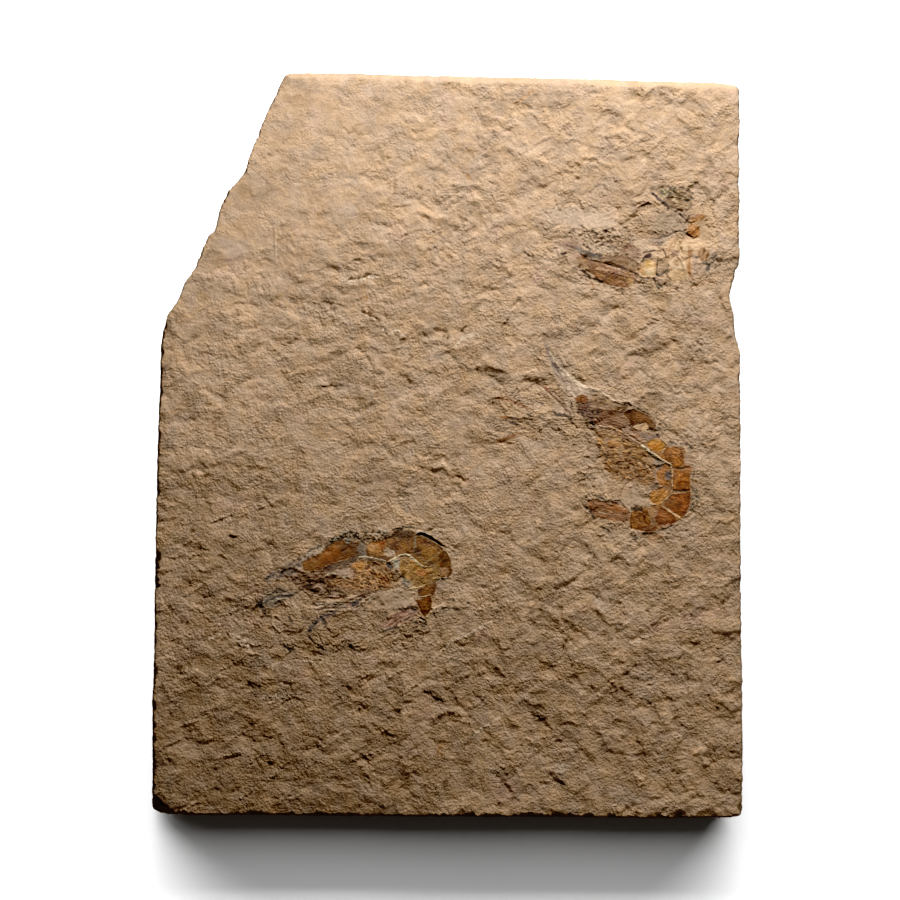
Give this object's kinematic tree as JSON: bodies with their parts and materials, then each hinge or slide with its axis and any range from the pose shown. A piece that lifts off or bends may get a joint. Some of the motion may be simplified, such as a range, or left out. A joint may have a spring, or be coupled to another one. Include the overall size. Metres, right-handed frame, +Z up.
{
  "type": "fossil shrimp plate",
  "caption": "Flat slab of split tan limestone with a broken corner, amber-brown fossil shrimps lying in its rough upper face.",
  "frame": {"origin": "middle of the footprint's box, on the flat underside that the slab rests on", "axes": "+Z up out of the split face with the shrimps; +Y along the longest side, towards the sawn edge beside the broken corner; +X across, away from the broken corner"},
  "size_m": [0.1478, 0.1868, 0.0145],
  "materials": {
    "limestone": "matt split face, fine sugary grain",
    "amber_film": "satin mineral film, amber brown",
    "dark_film": "satin mineral film, dark brown",
    "leg_film": "matt wrinkled film, ochre brown",
    "cream_shell": "satin film, yellow cream",
    "dark_crust": "matt dark grey-green crust"
  },
  "bodies": {
    "root": {"limestone_slab": "limestone", "lower_left_carapace": "amber_film", "lower_left_abdomen": "amber_film", "lower_left_tail": "amber_film", "lower_left_legs": "leg_film", "right_eye": "dark_film", "right_carapace": "amber_film", "right_abdomen": "amber_film", "right_tail_fan": "dark_film", "right_legs": "leg_film", "upper_right_carapace": "amber_film", "upper_right_abdomen": "cream_shell", "upper_right_tail_fan": "dark_crust", "upper_right_side_plate": "amber_film"}
  },
  "joints": []
}
